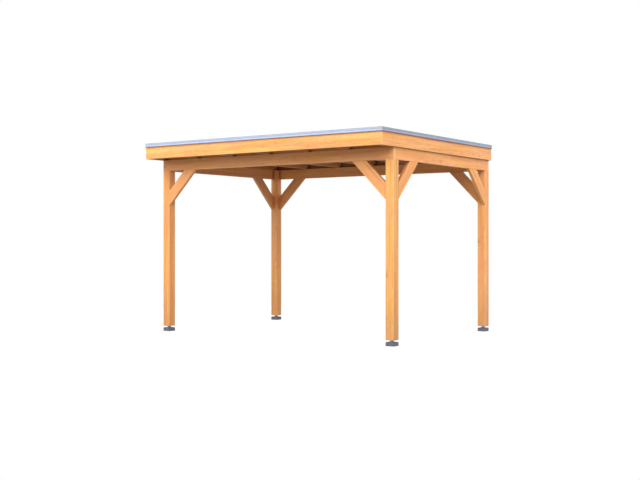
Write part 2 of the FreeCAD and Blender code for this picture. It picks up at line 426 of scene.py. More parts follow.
def planed_fir(bench, source):
    """Rings, streaks, fibres and knots, with rubbed arrises, pale ends, painted shade on chosen faces and a
    painted shadow below a cover.
    """
    place = source["Place"]
    moved = bench.vector("ADD", place, source["Shift"])
    knot, knot_heart, halo = fir_knots(bench, moved, source["Knot Radius"])
    ring = year_rings(bench, source, moved, halo)

    # Streaks and fibres run along the grain
    broad = bench.step(bench.grain(moved, 0.75, 17.0, 3.0, 0.3), 0.34, 0.70)
    streak = bench.step(bench.grain(moved, 2.6, 95.0, 3.0), 0.42, 0.78)
    mottle = bench.step(bench.grain(moved, 14.0, 42.0, 3.0), 0.46, 0.74)
    fibre = bench.grain(moved, 22.0, 800.0)
    darkness = bench.total(
        0.0, (ring, 0.46), (broad, 0.42), (streak, 0.34), (mottle, 0.20), (halo, 0.22), (fibre, 0.10))
    colour = bench.mix(darkness, source["Early Colour"], source["Late Colour"])

    # Some of the wood is yellower and some pinker, in long patches
    yellower = rgba((1.0, 1.02, 0.87))
    pinker = rgba((1.0, 0.98, 1.16))
    hue = bench.step(bench.grain(moved, 1.2, 13.0), 0.34, 0.66)
    colour = bench.tinted(colour, bench.mix(hue, yellower, pinker))
    for mask, depth in ((knot, 0.48), (knot_heart, 0.40)):
        colour = bench.mix(bench.math("MULTIPLY", mask, depth), colour, source["Knot Colour"])
    colour = bench.scaled(colour, source["Tone"])

    # The arrises are rubbed a little lighter, in patches
    half = bench.parts(source["Half Section"])
    from_middle = bench.parts(bench.vector("ABSOLUTE", place))
    to_end, to_side, to_edge = [
        bench.math("SUBTRACT", half[axis], from_middle[axis]) for axis in range(3)]
    rubbed = rgba((1.0, 0.74, 0.45))
    arris_fade = (0.0065, 0.0015)
    on_arris = bench.math("MULTIPLY", bench.step(to_side, *arris_fade), bench.step(to_edge, *arris_fade))
    patchy = bench.step(bench.noise(moved, 9.0, 3.0), 0.38, 0.62)
    arris = bench.math("MULTIPLY", on_arris, bench.math("ADD", patchy, 0.35))
    colour = bench.mix(bench.math("MULTIPLY", arris, 0.20), colour, rubbed)

    # End grain is paler
    end_fade = (0.0016, 0.0008)
    end = bench.step(to_end, *end_fade)
    colour = bench.mix(bench.math("MULTIPLY", end, 0.45), colour, source["End Colour"])

    # Painted shade: the faces on the shaded side are darker
    face_shade_fade = (0.0024, 0.0014)
    towards_shaded_face = bench.vector("MULTIPLY", place, source["Shaded Side"])
    to_shaded_face = bench.parts(bench.vector("SUBTRACT", source["Half Section"], towards_shaded_face))
    raw = bench.step(bench.math("MINIMUM", to_shaded_face[1], to_shaded_face[2]), *face_shade_fade)
    face_shade_depth = bench.math("MULTIPLY", raw, bench.math("SUBTRACT", 1.0, source["Shaded Tone"]))
    colour = bench.scaled(colour, bench.math("SUBTRACT", 1.0, face_shade_depth))

    # Painted shadow of what covers the timber's upper part: a brown band darkens the wood just below it
    trim_shadow_tint = rgba((0.62, 0.40, 0.24))
    trim_shadow_fade = (0.036, 0.0)
    below_cover = bench.math("SUBTRACT", source["Cover Height"], bench.parts(place)[2])
    shaded = bench.tinted(colour, trim_shadow_tint)
    colour = bench.mix(bench.step(below_cover, *trim_shadow_fade), colour, shaded)
    return {
        "Color": colour,
        "Roughness": bench.total(0.47, (fibre, 0.16), (ring, -0.07), (arris, 0.08)),
        "Height": bench.total(0.0, (ring, 0.5), (fibre, 0.45), (knot, 0.35)),
    }


def fir_knots(bench, moved, middling_radius):
    """Masks of the knots, of their hearts and of the wood round them.

    Knots sit at the points of a stretched cell pattern, and two thirds of the cells have one.
    """
    cell = (0.62, 0.13, 0.13)
    oval = (0.72, 1, 1)
    in_cells = bench.vector("DIVIDE", moved, cell)
    cells = bench.add("ShaderNodeTexVoronoi", {"Vector": in_cells, "Scale": 1.0, "Randomness": 0.9})
    from_knot = bench.vector("MULTIPLY", bench.vector("SUBTRACT", in_cells, cells.outputs["Position"]), cell)
    distance = bench.vector("LENGTH", bench.vector("MULTIPLY", from_knot, oval))
    chance = bench.add("ShaderNodeSeparateColor", {0: cells.outputs["Color"]}).outputs
    has_knot = bench.math("GREATER_THAN", chance[0], 0.33)
    radius = bench.math("MULTIPLY", middling_radius, bench.math("ADD", chance[1], 0.45))
    radii_away = bench.math("DIVIDE", distance, radius)
    knot_fade = (1.12, 0.86)
    heart_fade = (0.75, 0.2)
    halo_fade = (3.4, 0.9)
    return [bench.math("MULTIPLY", bench.step(radii_away, *fade), has_knot)
            for fade in (knot_fade, heart_fade, halo_fade)]


def year_rings(bench, source, moved, halo):
    """Late wood in rings round the pith, which wander and bend round the knots.

    A ring darkens slowly and ends sharply, and some rings are darker than others.
    """
    from_pith = bench.vector("SUBTRACT", source["Place"], source["Pith"])
    across = bench.vector("MULTIPLY", from_pith, (0, 1, 1))
    wander = bench.grain(moved, 0.55, 3.5)
    ripple = bench.grain(moved, 3.0, 14.0)
    radial = bench.total(bench.vector("LENGTH", across), (wander, 0.075), (ripple, 0.008), (halo, 0.011))
    phase = bench.math("DIVIDE", radial, source["Ring Width"])
    within_ring = bench.math("FRACT", phase)
    late = bench.math("MULTIPLY", bench.step(within_ring, 0.30, 0.88), bench.step(within_ring, 1.0, 0.93))
    ring_number = {"W": bench.math("FLOOR", phase)}
    chance = bench.add("ShaderNodeTexWhiteNoise", ring_number, noise_dimensions="1D").outputs["Value"]
    return bench.math("MULTIPLY", late, bench.total(0.35, (chance, 0.7)))


def joint_group():
    """Painted shade that darkens the colour near the box of a neighbouring piece."""
    return shader_group(
        "Painted joint shade",
        {"Color": "Color", "Place": "Vector", "Low Corner": "Vector", "High Corner": "Vector",
         "Reach": "Float", "Depth": "Float", "Shade Colour": "Color"},
        {"Color": "Color"},
        painted_joint_shade)


def painted_joint_shade(bench, source):
    """The colour, with more painted shade the nearer it is to the box."""
    below = bench.vector("SUBTRACT", source["Low Corner"], source["Place"])
    above = bench.vector("SUBTRACT", source["Place"], source["High Corner"])
    outside = bench.vector("MAXIMUM", bench.vector("MAXIMUM", below, above))
    near = bench.step(bench.vector("LENGTH", outside), source["Reach"], 0.0)
    amount = bench.math("MULTIPLY", near, source["Depth"])
    shaded_colour = bench.tinted(source["Color"], source["Shade Colour"])
    return {"Color": bench.mix(amount, source["Color"], shaded_colour)}


def patch_group():
    """Cloudy patches and fine specks for mineral, rubber and metal faces."""
    return shader_group(
        "Cloudy patches",
        {"Place": "Vector", "Patch Scale": "Float", "Speck Scale": "Float", "Patch Depth": "Float",
         "Speck Depth": "Float", "Base Colour": "Color", "Patch Colour": "Color"},
        {"Color": "Color", "Mask": "Float", "Height": "Float"},
        cloudy_patches)


def cloudy_patches(bench, source):
    """Base colour under patches and specks, with the patches' mask and the height of both."""
    patches = bench.noise(source["Place"], source["Patch Scale"], 5.0, 0.4)
    specks = bench.noise(source["Place"], source["Speck Scale"], 3.0)
    patch_mask = bench.step(patches, 0.36, 0.68)
    speck_mask = bench.step(specks, 0.45, 0.72)
    colour = source["Base Colour"]
    for mask, depth in ((patch_mask, source["Patch Depth"]), (speck_mask, source["Speck Depth"])):
        colour = bench.mix(bench.math("MULTIPLY", mask, depth), colour, source["Patch Colour"])
    return {"Color": colour, "Mask": patch_mask, "Height": bench.total(specks, (patches, 0.4))}


# Materials

def emptied_bench(owner):
    """Bench on the emptied node tree of a material or a world."""
    owner.use_nodes = True
    owner.node_tree.nodes.clear()
    return NodeBench(owner.node_tree)


def new_material(name):
    """A material with its bench and with its shader, wired to its output."""
    material = bpy.data.materials.new(name)
    bench = emptied_bench(material)
    shader = bench.add("ShaderNodeBsdfPrincipled")
    bench.add("ShaderNodeOutputMaterial", {"Surface": shader.outputs[0]})
    return material, bench, shader


def wire_finish(bench, shader, colour, roughness, height, bump, specular, metallic=0.0):
    """Feeds a shader its colour, roughness and bump, which is a strength and a distance."""
    strength, distance = bump
    relief = bench.add("ShaderNodeBump", {"Strength": strength, "Distance": distance, "Height": height})
    bench.wire(shader.inputs, {
        "Base Color": colour, "Roughness": roughness, "Normal": relief.outputs[0],
        "Specular IOR Level": specular, "Metallic": metallic})


def timber_material(name, middle, along, side, half_size, colours, tone=1.0, heart=0.10, gloss=0.35,
                    knots=1.0, raw_side=(0, 0, 0), raw_tone=1.0, cover_height=FAR, joints=()):
    """Fir whose grain runs along one direction, with its own rings, streaks and knots.

    side is the direction across the grain, half_size the half length, width and height, heart
    how far the pith may lie from the middle, and knots the knots' size against the usual one.
    raw_side has a sign for each direction in which a face with painted shade lies, and cover_height is where
    something covers the timber's upper part, below which a painted shadow darkens the wood.
    joints holds the box of each piece it meets, with the reach and the depth of the painted shade there.
    """
    settings = bpy.context.scene.veranda.timber
    dice = random.Random(name)
    material, bench, shader = new_material(name)
    turn = Matrix((along, side, along.cross(side)))
    place = bench.add("ShaderNodeTexCoord").outputs["Object"]
    mapping = bench.add("ShaderNodeMapping", {
        "Vector": place, "Location": -(turn @ middle), "Rotation": turn.to_euler()})
    fir = bench.add("ShaderNodeGroup", {
        "Place": mapping.outputs[0],
        "Shift": [dice.uniform(-20, 20) for _ in range(3)],
        "Pith": (0, dice.uniform(-heart, heart), -dice.uniform(0.35, 1.0) * heart),
        "Half Section": half_size,
        "Ring Width": settings.ring_width * dice.uniform(0.85, 1.25),
        "Knot Radius": settings.knot_radius * knots,
        "Tone": tone * dice.uniform(0.955, 1.03),
        "Shaded Side": raw_side,
        "Shaded Tone": raw_tone,
        "Cover Height": cover_height,
        **fir_colours(*colours),
    }, node_tree=timber_group()).outputs
    colour = fir["Color"]
    # Painted contact shade near each neighbouring piece
    for (low, high), (reach, depth) in joints:
        colour = bench.add("ShaderNodeGroup", {
            "Color": colour, "Place": place, "Low Corner": low, "High Corner": high,
            "Reach": reach, "Depth": depth, "Shade Colour": rgba(settings.painted_joint_shade),
        }, node_tree=joint_group()).outputs["Color"]
    wire_finish(bench, shader, colour, fir["Roughness"], fir["Height"], FIR_BUMP, gloss)
    return material


def fir_colours(early, late):
    """The fir group's colours."""
    settings = bpy.context.scene.veranda.timber
    return {
        "Early Colour": rgba(early), "Late Colour": rgba(late),
        "Knot Colour": rgba(settings.knot_colour), "End Colour": rgba(settings.end_colour),
    }


def patch_material(name, base, patch_tone, scales, depths, roughness, bump, metallic=0.0,
                   specular=0.5, lines=(), patchy=0.0):
    """Finish with cloudy patches, and with straight lines such as painted shade along a trim's folds or
    painted sheen on creases.

    patch_tone is the tone of the patches and specks against the base colour. scales and depths
    are those of the patches and of the specks, roughness is the least and the most, and bump a
    strength and a distance. Each line has the number of the axis that it crosses, its place
    there, its half width and how much it brightens or darkens. patchy is how far the patches
    break the lines up.
    """
    material, bench, shader = new_material(name)
    place = bench.add("ShaderNodeTexCoord").outputs["Object"]
    patch_scale, speck_scale = scales
    patch_depth, speck_depth = depths
    patches = bench.add("ShaderNodeGroup", {
        "Place": place, "Patch Scale": patch_scale, "Speck Scale": speck_scale,
        "Patch Depth": patch_depth, "Speck Depth": speck_depth,
        "Base Colour": rgba(base), "Patch Colour": rgba(Vector(base) * patch_tone),
    }, node_tree=patch_group()).outputs
    colour = patches["Color"]
    if lines:
        unbroken = bench.total(1.0 - patchy, (patches["Mask"], patchy))
        colour = draw_lines(bench, colour, place, lines, unbroken)
    smoothest, roughest = roughness
    rough = bench.add("ShaderNodeMapRange", {
        "Value": patches["Mask"], "To Min": smoothest, "To Max": roughest}).outputs[0]
    wire_finish(bench, shader, colour, rough, patches["Height"], bump, specular, metallic)
    return material


def draw_lines(bench, colour, place, lines, unbroken):
    """Straight lines over a colour, whole where unbroken is 1 and gone where it is 0."""
    axes = bench.parts(place)
    for axis, line_place, half_width, change in lines:
        away = bench.math("ABSOLUTE", bench.math("SUBTRACT", axes[axis], line_place))
        amount = bench.math("MULTIPLY", bench.step(away, half_width, half_width / 3), change)
        colour = bench.scaled(colour, bench.total(1.0, (amount, unbroken)))
    return colour


# Pieces

def dress(node, material):
    """Gives a piece of the construction its finish."""
    obj = frame["nodes"][node]
    if not obj.material_slots:
        raise ValueError(f"{node} has no material slot")
    for material_slot in obj.material_slots:
        material_slot.material = material


def add_piece(name, mesh_builder, material, stands_for=(), smooth_below=None):
    """Makes a bmesh one piece that rides on the veranda's only body."""
    mesh = bpy.data.meshes.new(name)
    mesh_builder.to_mesh(mesh)
    mesh_builder.free()
    if not mesh.polygons:
        raise RuntimeError(f"{name} has no faces")
    if smooth_below is not None:
        mesh.shade_smooth()
        mesh.set_sharp_from_angle(angle=smooth_below)
    mesh.materials.append(material)
    obj = bpy.data.objects.new(name, mesh)
    bpy.context.scene.collection.objects.link(obj)
    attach(obj, BODY)
    if stands_for:
        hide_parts(*stands_for)
    return obj


def dress_timber(node, along, colours, **finish):
    """Finish of a straight timber that lies along one of the axes."""
    low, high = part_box(node)
    half = (high - low) / 2
    side = across_grain(along)
    half_size = [abs(half.dot(axis)) for axis in (along, side, along.cross(side))]
    material = timber_material(f"fir_{node}", (low + high) / 2, along, side, half_size, colours, **finish)
    dress(node, material)
    ease_arrises(node)


def across_grain(along):
    """The level direction across a timber that makes its third direction point up."""
    return -X_AXIS if along is Y_AXIS else Y_AXIS


def ease_arrises(node):
    """Eases the ends and notches of a timber, whose long edges are eased in its own shape."""
    obj = frame["nodes"][node]
    weld = obj.modifiers.new("weld", "WELD")
    weld.merge_threshold = 1e-5
    flat_faces = obj.modifiers.new("flat_faces", "DECIMATE")
    flat_faces.decimate_type = "DISSOLVE"
    flat_faces.angle_limit = math.radians(1)
    ease = obj.modifiers.new("ease", "BEVEL")
    ease.width = bpy.context.scene.veranda.timber.arris_ease
    ease.segments = 2
    ease.limit_method = "ANGLE"
    ease.angle_limit = math.radians(60)


def frame_colours():
    """Early and late wood of the frame's timbers."""
    timber = bpy.context.scene.veranda.timber
    return timber.early_colour, timber.late_colour


def along_side(side):
    """Direction in which a side of the veranda runs."""
    return X_AXIS if side in LONG_SIDES else Y_AXIS


def joints_with(nodes, painted_shade):
    """The same painted shade at each of a timber's neighbours."""
    return [(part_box(node), painted_shade) for node in nodes]


class VERANDA_OT_posts(bpy.types.Operator):
    """Finish the four posts, with upright grain"""

    bl_idname = "veranda.posts"
    bl_label = "Posts"

    def execute(self, context):
        for corner in CORNERS:
            # Painted shade: the post darkens towards its foot and next to the beams
            joints = joints_with([f"foot_{corner}"], POST_BASE_SHADE)
            for side in corner.split("_"):
                # The box starts a reach higher, so that the painted shade ends at the beam's lower edge
                low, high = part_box(f"beam_{side}")
                reach = POST_AT_BEAM[0]
                joints.append(((low + Z_AXIS * reach, high), POST_AT_BEAM))
            dress_timber(f"post_{corner}", Z_AXIS, **post_wood(corner), heart=0.05, joints=joints)
        return {"FINISHED"}


def post_wood(corner):
    """Colours of a post: the front right one is yellower, with painted shade on its right face."""
    timber = bpy.context.scene.veranda.timber
    if corner != "front_right":
        return {"colours": frame_colours()}
    return {
        "colours": (timber.near_post_colour, timber.late_colour),
        "raw_side": (0, 0, -1),
        "raw_tone": timber.near_post_side_tone,
    }


class VERANDA_OT_beams(bpy.types.Operator):
    """Finish the four edge beams"""

    bl_idname = "veranda.beams"
    bl_label = "Edge beams"

    def execute(self, context):
        for side in SIDES:
            # Painted shade near what the notches leave of the post heads
            joints = [(head_box(corner), BEAM_AT_POST) for corner in CORNERS if side in corner]
            dress_timber(f"beam_{side}", along_side(side), frame_colours(), joints=joints)
        return {"FINISHED"}


def head_box(corner):
    """Box of what the notches leave of a post's head, inside the two beams."""
    low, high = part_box(f"post_{corner}")
    for side in corner.split("_"):
        beam_low, beam_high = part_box(f"beam_{side}")
        axis = 1 if side in LONG_SIDES else 0
        if side in LOW_SIDES:
            low[axis] = beam_high[axis]
        else:
            high[axis] = beam_low[axis]
        low.z = beam_low.z
    return low, high


class VERANDA_OT_braces(bpy.types.Operator):
    """Finish the eight knee braces, with grain along their slope"""

    bl_idname = "veranda.braces"
    bl_label = "Knee braces"

    def execute(self, context):
        timber = context.scene.veranda.timber
        half_width = timber.brace_width / 2
        for node in LONG_BRACES + SHORT_BRACES:
            brace = brace_axes(node)
            middle = brace["corner"] + brace["cross"] * (brace["reach"] - half_width)
            half_size = (brace["reach"], brace["thickness"] / 2, half_width)
            upward = -brace["along"].cross(brace["thick"]).dot(brace["cross"])
            side, end = node.split("_")[1:]
            corner = f"{side}_{end}" if node in LONG_BRACES else f"{end}_{side}"
            # The brace's upper edge gets painted shade, and its ends painted shade at the post and the beam
            material = timber_material(
                f"fir_{node}", middle, brace["along"], brace["thick"], half_size, frame_colours(),
                raw_side=(0, 0, upward), raw_tone=timber.upper_edge_tone,
                joints=joints_with((f"post_{corner}", f"beam_{side}"), BRACE_AT_FRAME))
            dress(node, material)
            ease_arrises(node)
        return {"FINISHED"}


def brace_axes(node):
    """Directions and sizes of a knee brace, from its box.

    corner is where post and beam meet in the middle of the brace's thickness, cross points from
    there to its lower edge, reach away, and along is up its slope, away from the post.
    """
    low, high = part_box(node)
    middle = (low + high) / 2
    size = high - low
    outward_axis = X_AXIS if node in LONG_BRACES else Y_AXIS
    towards_middle = -1.0 if middle.dot(outward_axis) > 0 else 1.0
    away = outward_axis * towards_middle
    leg = size.z
    corner = middle - away * leg / 2 + Z_AXIS * leg / 2
    thick = Y_AXIS if node in LONG_BRACES else X_AXIS
    return {
        "corner": corner,
        "along": (away + Z_AXIS).normalized(),
        "cross": (away - Z_AXIS).normalized(),
        "thick": thick,
        "reach": leg / math.sqrt(2),
        "thickness": abs(size.dot(thick)),
    }


class VERANDA_OT_rafters(bpy.types.Operator):
    """Finish the rafters"""

    bl_idname = "veranda.rafters"
    bl_label = "Rafters"

    def execute(self, context):
        # The rafters' darker tone is painted shade
        tone = context.scene.veranda.timber.rafter_tone
        # Painted shade where the rafters meet the beams and the fascia
        joints = [
            (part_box("beam_front"), RAFTER_AT_FRONT_BEAM),
            (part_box("beam_back"), RAFTER_AT_BACK_BEAM),
            *joints_with(("fascia_back", "fascia_front"), RAFTER_AT_FASCIA),
        ]
        for node in RAFTERS:
            dress_timber(
                node, Y_AXIS, frame_colours(), tone=tone, gloss=ROOF_TIMBER_GLOSS, joints=joints)
        return {"FINISHED"}


class VERANDA_OT_fascia(bpy.types.Operator):
    """Finish the fascia boards"""

    bl_idname = "veranda.fascia"
    bl_label = "Fascia"

    def execute(self, context):
        timber = context.scene.veranda.timber
        for side, outward in OUTWARD.items():
            along = along_side(side)
            # Painted light: the long fascia boards are paler copies of the side ones
            early = timber.long_fascia_colour if side in LONG_SIDES else timber.side_fascia_colour
            inner_sign = -outward.dot(across_grain(along))
            low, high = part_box(f"fascia_{side}")
            trim_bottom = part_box(f"trim_{side}")[0].z
            # Painted shade on the inner faces and lower edges, a painted shadow below the trim, and painted
            # shade next to each rafter
            dress_timber(
                f"fascia_{side}", along, (early, timber.late_colour), knots=0.5,
                raw_side=(0, inner_sign, -1), raw_tone=timber.raw_tone,
                cover_height=trim_bottom - (low.z + high.z) / 2,
                joints=joints_with(RAFTERS, FASCIA_AT_RAFTER))
        return {"FINISHED"}


class VERANDA_OT_roof_boards(bpy.types.Operator):
    """Lay the tongue and groove roof boards across the rafters"""

    bl_idname = "veranda.roof_boards"
    bl_label = "Roof boards"

    def execute(self, context):
        roof = context.scene.veranda.roof
        low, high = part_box("roof_deck")
        count = round((high.y - low.y) / roof.board_cover)
        cover = (high.y - low.y) / count
        dice = random.Random("roof boards")
        builder = bmesh.new()
        place_layer = builder.verts.layers.float_vector.new("board_place")
        tone_layer = builder.verts.layers.float.new("board_tone")
        for index in range(count):
            start = low.y + index * cover
            verts = add_board(builder, low, high, start, start + cover, roof,
                              first=index == 0, last=index == count - 1)
            centre = Vector((0, start + cover / 2, (low.z + high.z) / 2))
            shift = Vector([dice.uniform(-reach, reach) for reach in BOARD_SHIFT])
            # The boards' darker tone is painted shade
            tone = context.scene.veranda.timber.board_tone * dice.uniform(0.90, 1.04)
            for vert in verts:
                vert[place_layer] = vert.co - centre + shift
                vert[tone_layer] = tone
        add_piece("roof_boards", builder, board_material(), ["roof_deck"])
        return {"FINISHED"}


def add_board(builder, low, high, start, end, roof, first, last):
    """One board between two Y values, drawn as its section and extruded along X."""
    outline = board_outline(start, end, low.z, high.z, roof, first, last)
    verts = [builder.verts.new((low.x, y, z)) for y, z in outline]
    section = builder.faces.new(verts)
    made = bmesh.ops.extrude_face_region(builder, geom=[section], use_keep_orig=True)["geom"]
    moved = [item for item in made if isinstance(item, bmesh.types.BMVert)]
    bmesh.ops.translate(builder, vec=X_AXIS * (high.x - low.x), verts=moved)
    board = {face for vert in verts + moved for face in vert.link_faces}
    bmesh.ops.recalc_face_normals(builder, faces=list(board))
    return verts + moved


def board_outline(start, end, low_z, high_z, roof, first, last):
    """Section of a board as (y, z) points: up its grooved side and down its tongued one.

    The first and the last board have a plain side against the fascia.
    """
    chamfer = roof.board_chamfer
    joint_low, joint_high = [low_z + (high_z - low_z) * share for share in TONGUE_SHARES]
    if first:
        grooved = [(start, low_z), (start, high_z)]
    else:
        depth = start + roof.tongue + roof.board_gap
        grooved = [
            (start + chamfer, low_z), (start, low_z + chamfer), (start, joint_low), (depth, joint_low),
            (depth, joint_high), (start, joint_high), (start, high_z),
        ]
    if last:
        return grooved + [(end, high_z), (end, low_z)]
    end -= roof.board_gap
    tip = end + roof.tongue
    play = roof.board_gap / 4
    return grooved + [
        (end, high_z), (end, joint_high - play), (tip, joint_high - play), (tip, joint_low + play),
        (end, joint_low + play), (end, low_z + chamfer), (end - chamfer, low_z),
    ]


def board_material():
    """Fir of the roof boards: each board carries its own place and tone."""
    settings = bpy.context.scene.veranda.timber
    material, bench, shader = new_material("fir_roof_boards")
    place = bench.add("ShaderNodeAttribute", attribute_name="board_place").outputs["Vector"]
    tone = bench.add("ShaderNodeAttribute", attribute_name="board_tone").outputs["Fac"]
    fir = bench.add("ShaderNodeGroup", {
        "Place": place, "Tone": tone, "Pith": (0, 0, -0.05), "Half Section": (FAR, FAR, FAR),
        "Ring Width": settings.ring_width, "Knot Radius": settings.knot_radius,
        "Shaded Tone": 1.0, "Cover Height": FAR, **fir_colours(*frame_colours()),
    }, node_tree=timber_group()).outputs
    wire_finish(bench, shader, fir["Color"], fir["Roughness"], fir["Height"], FIR_BUMP,
                ROOF_TIMBER_GLOSS)
    return material


class VERANDA_OT_roof_skin(bpy.types.Operator):
    """Lay the rubber roof skin, turned up inside the fascia and folded in its corners"""

    bl_idname = "veranda.roof_skin"
    bl_label = "Roof skin"

    def execute(self, context):
        roof = context.scene.veranda.roof
        low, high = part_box("roof_membrane")
        half = Vector(((high.x - low.x) / 2, (high.y - low.y) / 2, 0))
        middle = Vector(((high.x + low.x) / 2, (high.y + low.y) / 2, low.z))
        flat = Vector((half.x - roof.skin_bend, half.y - roof.skin_bend, 0))
        builder = bmesh.new()
        lay_sheet(builder, middle, flat, roof)
        turn_up(builder, middle, flat, high.z - low.z, roof)
        for x_sign in (-1, 1):
            for y_sign in (-1, 1):
                add_corner_fold(builder, middle, half, high.z, x_sign, y_sign, roof)
        material = patch_material(
            "rubber_skin", roof.skin_colour, patch_tone=2.2, scales=(2.4, 160.0), depths=(0.40, 0.25),
            roughness=(0.74, 0.86), bump=(0.25, 0.0008), specular=0.2,
            lines=skin_marks(middle, flat), patchy=0.5)
        skin = add_piece("roof_skin", builder, material, ["roof_membrane"], math.radians(40))
        solidify = skin.modifiers.new("thickness", "SOLIDIFY")
        solidify.thickness = roof.skin_thickness
        solidify.offset = 1.0
        return {"FINISHED"}


def skin_marks(middle, flat):
    """Pale lines on the skin: painted sheen on its creases, and the dust that gathers along its upstand."""
    marks = []
    for axis in (0, 1):
        for shares, mark in ((SKIN_FOLDS, CREASE_SHEEN), ((-1, 1), EDGE_DUST)):
            marks += [(axis, middle[axis] + share * flat[axis], *mark) for share in shares]
    return marks


def lay_sheet(builder, middle, flat, roof):
    """The sheet's flat part, with low waves and the creases of its folded state."""
    quad = 0.03
    bmesh.ops.create_grid(
        builder, x_segments=round(2 * flat.x / quad), y_segments=round(2 * flat.y / quad), size=1.0,
        matrix=Matrix.Translation(middle) @ Matrix.Diagonal((flat.x, flat.y, 1, 1)))
    wave_length = 0.45
    wave_height = 0.0016
    wave_lift = 0.5
    crease_width = 0.035
    edge_fade = 0.15
    for vert in builder.verts:
        inside = vert.co - middle
        to_edge = min(flat.x - abs(inside.x), flat.y - abs(inside.y))
        fade = min(1.0, to_edge / edge_fade)
        # Where the lifted noise is still below 0, the sheet lies flat
        wave = noise.noise(Vector((inside.x, inside.y, 0)) / wave_length) + wave_lift
        to_fold = min(abs(inside[axis] - share * flat[axis]) for axis in (0, 1) for share in SKIN_FOLDS)
        crease = math.exp(-(to_fold / crease_width) ** 2)
        vert.co.z += fade * (max(0.0, wave) * wave_height + crease * roof.skin_crease)


def turn_up(builder, middle, flat, upstand, roof):
    """Extrudes the sheet's edge round its bend and up the fascia."""
    bend = roof.skin_bend
    steps = 5
    levels = []
    for step in range(1, steps + 1):
        angle = math.pi / 2 * step / steps
        levels.append((bend * math.sin(angle), bend * (1 - math.cos(angle))))
    levels.append((bend, upstand))
    edges = [edge for edge in builder.edges if edge.is_boundary]
    out_before = 0.0
    for out, rise in levels:
        extruded = bmesh.ops.extrude_edge_only(builder, edges=edges)["geom"]
        verts = [item for item in extruded if isinstance(item, bmesh.types.BMVert)]
        edges = [item for item in extruded if isinstance(item, bmesh.types.BMEdge)]
        edges = [edge for edge in edges if edge.verts[0] in verts and edge.verts[1] in verts]
        for vert in verts:
            inside = vert.co - middle
            tolerance = 1e-5
            if abs(abs(inside.x) - flat.x - out_before) < tolerance:
                inside.x = math.copysign(flat.x + out, inside.x)
            if abs(abs(inside.y) - flat.y - out_before) < tolerance:
                inside.y = math.copysign(flat.y + out, inside.y)
            vert.co = middle + inside
            vert.co.z = middle.z + rise
        out_before = out


def add_corner_fold(builder, middle, half, top, x_sign, y_sign, roof):
    """The spare sheet of one corner, folded flat against the upstand."""
    skin = roof.skin_thickness
    height = top - middle.z - skin * 2
    lift = height * 0.12
    upright = height * 0.86
    corner = Vector((middle.x + x_sign * (half.x - skin), middle.y + y_sign * (half.y - skin), middle.z))
    base = corner + Z_AXIS * lift
    points = [base, base - X_AXIS * x_sign * height, base + Z_AXIS * upright]
    face = builder.faces.new([builder.verts.new(point) for point in points])
    face.normal_update()
    if face.normal.y * y_sign > 0:
        face.normal_flip()


class VERANDA_OT_edge_trim(bpy.types.Operator):
    """Finish the metal edge trim"""

    bl_idname = "veranda.edge_trim"
    bl_label = "Edge trim"

    def execute(self, context):
        roof = context.scene.veranda.roof
        low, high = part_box("trim_front")
        # Painted shade: dark lines along the trim's lower edge, the edge of its upper band and its top
        fold = 0.003
        shade = -0.42
        heights = (low.z + fold / 2, high.z - roof.trim_upper_band, high.z - fold)
        fold_shade_lines = [(2, height, fold * 1.5, shade) for height in heights]
        for side in SIDES:
            # The side lengths are darker copies of the long ones: painted shade
            tone = 1.0 if side in LONG_SIDES else roof.trim_side_shade_tone
            material = patch_material(
                f"coated_trim_{side}", Vector(roof.trim_colour) * tone, patch_tone=0.86,
                scales=(11.0, 90.0), depths=(0.55, 0.35), roughness=(0.40, 0.50), bump=(0.12, 0.0004),
                lines=fold_shade_lines)
            dress(f"trim_{side}", material)
        return {"FINISHED"}


class VERANDA_OT_feet(bpy.types.Operator):
    """Make the concrete feet, with rounded edges and air pores"""

    bl_idname = "veranda.feet"
    bl_label = "Feet"

    def execute(self, context):
        feet = context.scene.veranda.feet
        material = patch_material(
            "grey_concrete", feet.concrete_colour, patch_tone=1.55, scales=(26.0, 420.0),
            depths=(0.5, 0.45), roughness=(0.80, 0.93), bump=(0.5, 0.0012))
        for corner in CORNERS:
            node = f"foot_{corner}"
            add_piece(f"foot_block_{corner}", foot_block(node, feet), material, [node],
                      math.radians(50))
        return {"FINISHED"}


def foot_block(node, feet):
    """A block on its node's box, cut fine, rounded and dented by pores."""
    low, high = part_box(node)
    middle = (low + high) / 2
    size = high - low
    cuts = 30
    waves_a_metre = 60
    wave_depth = 0.0003
    pore_depth = 0.6
    builder = bmesh.new()
    bmesh.ops.create_cube(builder, size=1, matrix=Matrix.Translation(middle) @ Matrix.Diagonal((*size, 1)))
    bmesh.ops.subdivide_edges(builder, edges=builder.edges[:], cuts=cuts, use_grid_fill=True)
    pores = pores_of(node, middle, size, feet)
    radius = feet.round_edge
    inner = size / 2 - Vector((radius, radius, radius))
    for vert in builder.verts:
        offset = vert.co - middle
        core = Vector([max(-limit, min(limit, value)) for value, limit in zip(offset, inner)])
        if vert.co.z < low.z + radius:
            core.z = offset.z
        outward = offset - core
        if outward.length > 0:
            outward.normalize()
            vert.co = middle + core + outward * radius
        depth = wave_depth * (noise.noise(vert.co * waves_a_metre) + 1)
        for spot, pore in pores:
            away = (vert.co - spot).length / pore
            if away < 2:
                depth += pore * pore_depth * math.exp(-2 * away * away)
        vert.co -= outward * depth
    return builder


def pores_of(node, middle, size, feet):
    """Places and radii of the pores in the faces of a foot."""
    dice = random.Random(node)
    pores = []
    for _ in range(feet.pore_count):
        spot = Vector([dice.uniform(-1, 1) * half for half in size / 2])
        axis = dice.choice((0, 1, 2))
        spot[axis] = math.copysign(size[axis] / 2, spot[axis])
        pores.append((middle + spot, feet.pore_radius * dice.uniform(0.35, 1.0)))
    return pores


